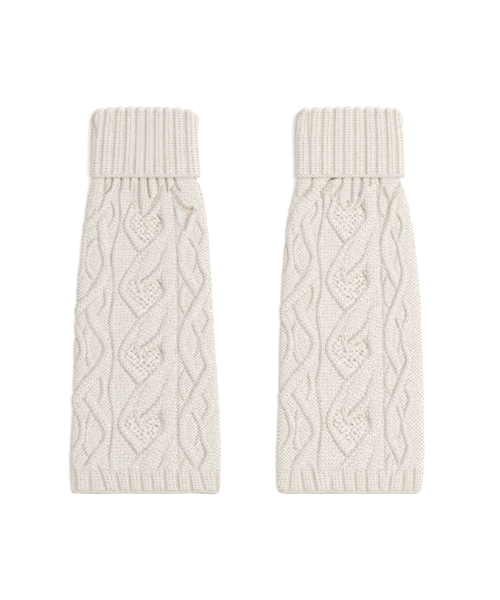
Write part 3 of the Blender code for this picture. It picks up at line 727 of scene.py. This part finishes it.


# yarn from the stitch coordinates: slanting legs where it is knit, beads where it is purl or moss,
# with painted shade in dark brown in the holes between stitches and wherever the wall is hollow
def yarnMaterial(name, yarn):
    material = bpy.data.materials.new(name)
    material.use_nodes = True
    tree = material.node_tree
    nodes, links = tree.nodes, tree.links
    shader = nodes["Principled BSDF"]

    def node(kind, **values):
        made = nodes.new(kind)
        for key, value in values.items():
            setattr(made, key, value)
        return made

    def put(socket, value):
        if isinstance(value, bpy.types.NodeSocket):
            links.new(value, socket)
        else:
            socket.default_value = value

    def calc(operation, a, b=0.0, c=0.0, clamp=False):
        made = node("ShaderNodeMath", operation=operation, use_clamp=clamp)
        for socket, value in zip(made.inputs, (a, b, c)):
            put(socket, value)
        return made.outputs[0]

    def times(a, b):
        return calc("MULTIPLY", a, b)

    def timesPlus(a, b, c, clamp=False):
        return calc("MULTIPLY_ADD", a, b, c, clamp)

    def oneMinus(value):
        return calc("SUBTRACT", 1.0, value)

    def mixColour(factor, a, b):
        made = node("ShaderNodeMix", data_type="RGBA")
        put(made.inputs[0], factor)
        put(made.inputs[6], a)
        put(made.inputs[7], b)
        return made.outputs[2]

    def noise(scale, detail):
        made = node("ShaderNodeTexNoise")
        put(made.inputs["Vector"], solid)
        put(made.inputs["Scale"], scale)
        put(made.inputs["Detail"], detail)
        return made

    # beads where the two waves agree, holes where they don't
    def beads(pitch, depth):
        waves = [calc("COSINE", times(along, math.pi * turn)) for along, turn in zip((u, v), pitch)]
        holes = timesPlus(times(*waves), -0.5, 0.5)
        return oneMinus(times(calc("POWER", holes, 3.0), depth))

    solid = node("ShaderNodeTexCoord").outputs["Object"]
    place = node("ShaderNodeSeparateXYZ")
    links.new(node("ShaderNodeUVMap", uv_map="stitches").outputs[0], place.inputs[0])
    drift = node("ShaderNodeSeparateXYZ")
    links.new(noise(yarn["driftScale"], 1.0).outputs[1], drift.inputs[0])
    kind = node("ShaderNodeAttribute", attribute_name="kind").outputs["Fac"]
    isPurl, isMoss = (calc("COMPARE", kind, wanted, 0.4) for wanted in (purl, mossKind))
    sway = timesPlus(isMoss, yarn["mossDrift"], yarn["drift"])
    u, v = (timesPlus(calc("SUBTRACT", drift.outputs[k], 0.5), sway, place.outputs[k]) for k in (0, 1))
    # hollow: the shade painted on each point from the relief, the creases and the cuff's underside
    hollow = node("ShaderNodeAttribute", attribute_name="hollow").outputs["Fac"]

    # knit: two slanting legs a wale, with a hole between wales and one under each V
    inWale = calc("ABSOLUTE", timesPlus(calc("FRACT", u), 2.0, -1.0))
    slant = timesPlus(inWale, 0.5, v)
    legRound = calc("SINE", times(calc("FRACT", slant), math.pi))
    nearSide = calc("POWER", inWale, yarn["holeNarrow"])
    nearMiddle = calc("POWER", oneMinus(inWale), yarn["holeNarrow"])
    holes = timesPlus(nearSide, yarn["sideHole"], yarn["legLine"])
    holes = timesPlus(nearMiddle, yarn["middleHole"], holes)
    between = calc("POWER", oneMinus(legRound), yarn["holeShort"])
    knitHeight = oneMinus(timesPlus(between, holes, times(nearSide, yarn["sideLine"])))
    height = times(knitHeight, calc("SUBTRACT", oneMinus(isPurl), isMoss))
    height = calc("ADD", height, times(beads((2, 2), yarn["purlHoles"]), isPurl))
    height = calc("ADD", height, times(beads(mossPitch, yarn["mossHoles"]), isMoss))
    fuzz = noise(yarn["fuzzScale"], 3.0)
    fleck = noise(yarn["fleckScale"], 2.0).outputs[0]
    loose = timesPlus(noise(yarn["looseScale"], 1.0).outputs[0], *yarn["loose"])
    ply = timesPlus(fleck, *yarn["ply"], clamp=True)
    colour = mixColour(ply, yarn["lightPly"], yarn["darkPly"])
    # painted shade: the holes between stitches darken towards dark brown, more where the noise is high
    hole = oneMinus(height)
    colour = mixColour(times(hole, times(loose, yarn["holeShadeDepth"])), colour, yarn["holeShade"])
    # painted shade: hollow places, and their holes more, take the furrow's dark brown
    furrow = timesPlus(hole, yarn["furrowHoleShade"], yarn["furrowShadeDepth"])
    colour = mixColour(times(hollow, furrow), colour, yarn["furrowShade"])
    # painted shade: near black where the shade painted into creases takes hollow past 1
    colour = mixColour(calc("SUBTRACT", hollow, 1.0), colour, yarn["deepestShade"])
    put(shader.inputs["Base Color"], colour)
    bump = node("ShaderNodeBump")
    put(bump.inputs["Strength"], yarn["bump"])
    put(bump.inputs["Distance"], yarn["bumpMm"] * mm)
    put(bump.inputs["Height"], timesPlus(fuzz.outputs[0], yarn["fuzz"], height))
    put(shader.inputs["Normal"], bump.outputs[0])
    put(shader.inputs["Roughness"], yarn["roughness"])
    put(shader.inputs["Specular IOR Level"], yarn["specular"])
    put(shader.inputs["Sheen Weight"], yarn["sheen"])
    put(shader.inputs["Sheen Roughness"], yarn["sheenRoughness"])
    return material


yarn = {
    "lightPly": (0.70, 0.686, 0.664, 1.0),
    "darkPly": (0.60, 0.57, 0.525, 1.0),
    # the colours of the painted shade: in holes, in furrows and in the deepest creases
    "holeShade": (0.28, 0.178, 0.098, 1.0),
    "furrowShade": (0.38, 0.25, 0.15, 1.0),
    "deepestShade": (0.05, 0.03, 0.018, 1.0),
    "sideHole": 1.0,  # how deep the hole between two wales is
    "middleHole": 0.8,  # and the one under each V
    "sideLine": 0.05,
    "legLine": 0.05,
    "holeNarrow": 4.5,  # the power that narrows a hole across, and the one that shortens it
    "holeShort": 1.0,
    "purlHoles": 0.7,
    "mossHoles": 0.75,
    "holeShadeDepth": 1.05,  # how much of a hole's depth is painted as shade
    "furrowShadeDepth": 0.4,  # how dark a furrow's painted shade is, and how much darker at its holes
    "furrowHoleShade": 0.8,
    "loose": (1.4, 0.3),  # contrast and base of a noise: some holes get darker painted shade
    "ply": (2.4, -0.7),  # the same for the dark ply
    "drift": 0.38,  # how far stitches wander from their rows
    "mossDrift": 1.1,  # and how much more the moss stitches do
    "driftScale": 230.0,
    "looseScale": 320.0,
    "fuzzScale": 1400.0,
    "fleckScale": 620.0,
    "fuzz": 0.5,
    "bump": 0.7,
    "bumpMm": 0.35,
    "roughness": 0.92,
    "specular": 0.25,
    "sheen": 0.25,
    "sheenRoughness": 0.6,
}


# an object in the scene for a mesh, a light or a camera
def addObject(name, data):
    made = bpy.data.objects.new(name, data)
    bpy.context.scene.collection.objects.link(made)
    return made


# one closed wall from rings that end where they began; the front of its first rows has the chart
def addWall(name, points, x, up, chart, material, frontColumns, sharp):
    rings, columns = points.shape[:2]
    here = np.arange(rings * columns).reshape(rings, columns)
    above = np.roll(here, -1, axis=0)
    quads = np.stack([here, np.roll(here, -1, 1), np.roll(above, -1, 1), above], axis=-1).reshape(-1, 4)
    flat = points.reshape(-1, 3) * mm
    a, b, c, d = (flat[quads[:, k]] for k in range(4))
    volume = (a * (np.cross(b, c) + np.cross(c, d))).sum()
    u = np.pad(x / relief["waleMm"], (0, 1), mode="edge")
    v = np.pad(up[:, None] / -relief["courseMm"] + 0 * x, (0, 1), mode="edge")
    stitches = stitchCorners(u, v)
    kind = np.full((rings, columns), knit)
    rows = chart["kind"].shape[0]
    stitches[:rows, : frontColumns - 1] = chart["stitches"]
    kind[:rows, : frontColumns - 1] = chart["kind"]
    stitches = stitches.reshape(-1, 4, 2)
    if volume < 0:  # the faces turn outwards
        quads = quads[:, ::-1]
        stitches = stitches[:, ::-1]
    made = bpy.data.meshes.new(name)
    made.vertices.add(len(flat))
    made.vertices.foreach_set("co", flat.ravel())
    made.loops.add(quads.size)
    made.loops.foreach_set("vertex_index", quads.ravel().astype(np.int32))
    made.polygons.add(len(quads))
    made.polygons.foreach_set("loop_start", np.arange(0, quads.size, 4, dtype=np.int32))
    made.update(calc_edges=True)
    made.polygons.foreach_set("use_smooth", np.ones(len(quads), bool))
    ends = np.zeros(len(made.edges) * 2, np.int32)  # the wall's square ends get hard edges
    made.edges.foreach_get("vertices", ends)
    ends = ends.reshape(-1, 2) // columns
    hard = (ends[:, 0] == ends[:, 1]) & np.isin(ends[:, 0], sharp)
    made.attributes.new("sharp_edge", "BOOLEAN", "EDGE").data.foreach_set("value", hard)
    made.uv_layers.new(name="stitches").data.foreach_set("uv", stitches.ravel())
    made.attributes.new("kind", "FLOAT", "FACE").data.foreach_set("value", kind.ravel())
    # the painted shade goes to the yarn as the point attribute hollow
    hollow = np.zeros((rings, columns))
    hollow[: rows + 1, :frontColumns] = chart["hollow"]
    made.attributes.new("hollow", "FLOAT", "POINT").data.foreach_set("value", hollow.ravel())
    made.materials.append(material)
    print("knitted", name, len(quads) * 2, "triangles, valid", not made.validate())
    return addObject(name, made)


# the height of a leg's middle plane, where it runs up onto the cuff's back layer
def riseOf(up):
    climbed = smoothstep(wall["liftStart"], wall["cuffEdge"], up)
    return legHalf + (wall["layerGap"] + wall["thickness"]) * climbed


# rings as rows: height, left and right edge, middle plane, half depth, rounding of the side folds,
# share of the relief, and how far the ring leans to +Y
def ringRows(*columns):
    return np.stack(np.broadcast_arrays(*columns), axis=1)


# heights and edges of each ring: up the outside from low to high, then down the plain inside,
# and round the lower edge as a half circle where the piece ends there
def wallStations(leg, low, high, step, roundEnd):
    thick = wall["thickness"]

    def rings(ups, deep, strength):
        left, _, _, right = readRows(leg["rows"], ups)
        half, rounding = legHalf - deep, wall["foldRound"] - deep
        return ringRows(ups, left - deep, right - deep, riseOf(ups), half, rounding, strength, 0.0)

    edge = thick / 2 if roundEnd else 0.0
    ups = np.linspace(low + edge, high, round((high - low) / step) + 1)
    outside = rings(ups, 0 * ups, 1.0)
    ups = np.linspace(high, low + edge, mesh["insideRows"])
    inside = rings(ups, thick + 0 * ups, 0.0)
    if roundEnd:
        turn = np.linspace(0, math.pi, 8)[-2:0:-1]  # from the inner side round to the outer one
        lip = rings(low + edge - edge * np.sin(turn), edge - edge * np.cos(turn), 0.0)
        lip[:, 6] = smoothstep(1.4, 0.0, turn)
        lipTop = lip[turn <= math.pi / 2]
        return np.vstack([lipTop, outside]), np.vstack([inside, lip[: len(lip) - len(lipTop)]])
    return outside, inside


# the cuff: up its inside, over the fold, down its face, and back between its layers
def cuffStations(leg):
    bend = (cuffHalf - wall["hollow"] / 2) / 2
    slit = wall["layerGap"] / 2
    centre = wall["cuffFold"] - bend
    stations = []

    def add(ups, half, strength=0.0, lean=0.0):
        ups = np.atleast_1d(ups)
        left, right = readRows(leg["cuffRows"], ups)
        deep = cuffHalf - half
        rounding = max(wall["foldRound"] - deep, half)
        stations.append(ringRows(ups, left - deep, right - deep, cuffHalf, half, rounding, strength, lean))

    lip = wall["thickness"] / 2  # the cast-off edge is round
    lowest = wall["cuffEdge"] + lip
    outer = np.linspace(centre, lowest, round((centre - lowest) / mesh["cuffRow"]))
    inner = np.linspace(wall["legTop"] + wall["seamGap"], centre, 8)
    for angle in np.linspace(math.pi, 0.0, 15)[1:-1]:
        half = cuffHalf - bend + bend * math.cos(angle)
        add(centre + bend * math.sin(angle), half, smoothstep(2.2, 1.6, angle), angle)
    add(outer, cuffHalf, 1.0)
    for angle in np.linspace(0.0, math.pi, 9)[1:-1]:
        half = cuffHalf - lip + lip * math.cos(angle)
        add(lowest - lip * math.sin(angle), half, float(smoothstep(1.5, 0.0, angle)))
    charted = sum(len(part) for part in stations)
    add(outer[::-8], cuffHalf - wall["thickness"])
    for angle in np.linspace(0.0, math.pi, 7)[1:-1]:
        add(centre + slit * math.sin(angle), cuffHalf - bend + slit * math.cos(angle))
    add(inner[::-1], legHalf)
    add(inner, wall["hollow"] / 2)
    return np.vstack(stations), charted


# puts chart heights, stitch puffs and soft unevenness on the charted rings and makes the piece
def makePiece(leg, part, stations, charted, columns, chartOf, seed, material, sharp=()):
    shape = ringShape(columns)
    frontColumns = int((shape[2] > 0).sum())
    height = np.zeros((len(stations), len(shape[0])))
    _, x = ringPoints(shape, stations, height, leg["middle"])
    more = mesh["margin"]
    ups = stations[:charted, 0]
    past = np.arange(1, more + 1)
    ups = np.concatenate([
        ups[0] + (ups[0] - ups[1]) * past[::-1], ups, ups[-1] + (ups[-1] - ups[-2]) * past,
    ])[:, None]
    across = np.pad(x[:charted, :frontColumns], ((more, more), (0, 0)), mode="edge")
    chart = chartOf(leg, across, ups)
    if part == "Cuff":  # its courses follow the way over the fold
        steps = np.hypot(np.diff(stations[:charted, 0]), np.diff(stations[:charted, 4]))
        run = np.cumsum([0.0, *steps]) / (relief["ribCourse"] * relief["courseMm"])
        run = np.pad(run, more, mode="reflect", reflect_type="odd")[:, None] + 0 * across
        chart["stitches"][..., 1] = cornersOf(run)
        chart["stitches"][ups[:-1, 0] > wall["foldRibs"][1]] = 0.5  # no holes show along the fold
    puff = toPoints(stitchPuff(chart["stitches"], chart["kind"]), across.shape)
    smooth = chart["height"]
    # painted shade: darker where the relief lies below its surroundings or near the wall, plus the shade
    # painted into creases and under the cuff
    (around, aroundShade), (near, nearShade) = relief["shadeDepth"], relief["lowShade"]
    hollow = aroundShade * np.clip((blurred(smooth, relief["shadeRows"]) - smooth) / around, 0, 1)
    hollow = hollow + nearShade * np.exp(-((smooth / near) ** 2))
    uneven = relief["uneven"] * unevenness(across, ups, 34.0, seed)
    front = smooth + puff * smoothstep(0.2, 1.2, smooth) + uneven * smoothstep(0.5, 1.5, smooth)
    kept = slice(more, more + charted)
    facesKept = slice(more, more + charted - 1)
    chart = {
        "stitches": chart["stitches"][facesKept],
        "kind": chart["kind"][facesKept],
        "hollow": (np.clip(hollow, 0, 1) + chart["deep"])[kept],
    }
    height[:charted, :frontColumns] = np.maximum(front, 0.0)[kept]
    for k in range(frontColumns, height.shape[1]):  # the relief runs out round each fold
        edgeColumn = 0 if shape[0][k] < 0.5 else frontColumns - 1
        height[:charted, k] = height[:charted, edgeColumn] * math.cos(shape[1][k]) ** 2
    points, _ = ringPoints(shape, stations, height, leg["middle"])
    low = smoothstep(9.0, 0.0, stations[:, :1])
    points[..., 1] += low * 0.6 * unevenness(x, 0 * x, 30.0, seed + 3)  # the cast-off edge waves a little
    apart = 0.55 + 0.45 * unevenness(x, 0 * x, 44.0, seed + 7)  # and the back's lies below the front's
    points[..., 1] += low * apart * (shape[2] * np.sin(shape[1]))
    if part == "Cuff":  # the fold lies lower towards its ends
        high = smoothstep(wall["foldDrop"], wall["cuffFold"], stations[:, :1])
        points[..., 1] -= leg["cuffDrop"] * high * np.minimum(np.abs(x) / cuffHalfWidth, 1.0) ** 4
    name = leg["name"] + part
    return addWall(name, points, x, stations[:, 0], chart, material, frontColumns, sharp)


ribValues = {  # the ribs are knitted tighter, so their holes are smaller, with darker painted shade
    "middleHole": 0.22,
    "sideLine": 0.0,
    "legLine": 0.11,
    "holeNarrow": 2.6,
    "holeShort": 0.9,
    "furrowShadeDepth": 0.33,
    "furrowHoleShade": 1.6,
    "drift": 0.35,
}
legYarn = yarnMaterial("Leg yarn", yarn)
ribYarn = yarnMaterial("Rib yarn", {**yarn, **ribValues})
pieces = {}
for seed, leg in enumerate(legs):
    gap = wall["seamGap"] / 2
    for part, low, high, roundEnd, material in (
        ("Hem", 0.0, wall["hemTop"] - gap, True, ribYarn),
        ("Leg", wall["hemTop"] + gap, wall["legTop"], False, legYarn),
    ):
        key = part.lower()
        outside, inside = wallStations(leg, low, high, mesh[key + "Row"], roundEnd)
        stations, charted = np.vstack([outside, inside]), len(outside)
        square = (charted - 1, charted) if roundEnd else (0, charted - 1, charted, len(stations) - 1)
        pieces[leg["name"], key] = makePiece(
            leg, part, stations, charted, mesh[key + "Columns"], legChart, seed, material, square
        )
    stations, charted = cuffStations(leg)
    pieces[leg["name"], "cuff"] = makePiece(
        leg, "Cuff", stations, charted, mesh["cuffColumns"], cuffChart, seed + 2, ribYarn
    )

# each piece hangs from the root body, and the part of its name from model.glb is hidden
for (side, part), piece in pieces.items():
    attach(piece, "root")
    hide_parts(side + "_" + part)

# plain white floor, a big soft light above and a little to the right, and a pale surround
studio = {
    "floorSize": 6.0,
    "floorHeight": -0.0003,
    "floorColour": (0.93, 0.93, 0.93, 1.0),
    "floorGlow": 0.16,
    "surround": 0.78,
    "keyPower": 54.0,
    "keySize": 1.7,
    "keyPlace": (1.3, 0.25, 2.4),
    "cameraHeight": 3.2,
    "viewLong": 0.648,  # what the photograph's long side spans, in metres
    "viewMiddle": (0.0027, 0.0002),
    "sensor": 36.0,
    "focusPlane": 0.010,
}
floorMesh = bpy.data.meshes.new("Floor")
reach = studio["floorSize"] / 2
corners = ((-reach, -reach), (reach, -reach), (reach, reach), (-reach, reach))
floorMesh.from_pydata([(x, y, studio["floorHeight"]) for x, y in corners], [], [(0, 1, 2, 3)])
floor = addObject("Floor", floorMesh)
floorMaterial = bpy.data.materials.new("Pale floor")
floorMaterial.use_nodes = True
floorShader = floorMaterial.node_tree.nodes["Principled BSDF"]
floorShader.inputs["Base Color"].default_value = studio["floorColour"]
floorShader.inputs["Roughness"].default_value = 1.0
floorShader.inputs["Specular IOR Level"].default_value = 0.0
floorShader.inputs["Emission Color"].default_value = (1.0, 1.0, 1.0, 1.0)
floorShader.inputs["Emission Strength"].default_value = studio["floorGlow"]
floorMesh.materials.append(floorMaterial)

world = bpy.data.worlds.new("Pale surround")
world.use_nodes = True
world.node_tree.nodes["Background"].inputs["Color"].default_value = (1.0, 1.0, 1.0, 1.0)
world.node_tree.nodes["Background"].inputs["Strength"].default_value = studio["surround"]
bpy.context.scene.world = world

keyLight = bpy.data.lights.new("Soft key", "AREA")
keyLight.shape = "SQUARE"
keyLight.size = studio["keySize"]
keyLight.energy = studio["keyPower"]
key = addObject("Soft key", keyLight)
key.location = studio["keyPlace"]
aim = -np.array(studio["keyPlace"])
aim = aim / np.linalg.norm(aim)
key.rotation_euler = (math.acos(-aim[2]), 0.0, math.atan2(aim[1], aim[0]) - math.pi / 2)

cameraData = bpy.data.cameras.new("Camera")
cameraData.type = "PERSP"
cameraData.sensor_width = studio["sensor"]
cameraData.lens = studio["sensor"] * studio["cameraHeight"] / studio["viewLong"]
camera = addObject("Camera", cameraData)
camera.location = (*studio["viewMiddle"], studio["cameraHeight"] + studio["focusPlane"])
camera.rotation_euler = (0.0, 0.0, 0.0)
bpy.context.scene.camera = camera
bpy.context.scene.view_settings.view_transform = "Standard"
bpy.context.scene.view_settings.look = "None"
print("stage, lights and camera are set")
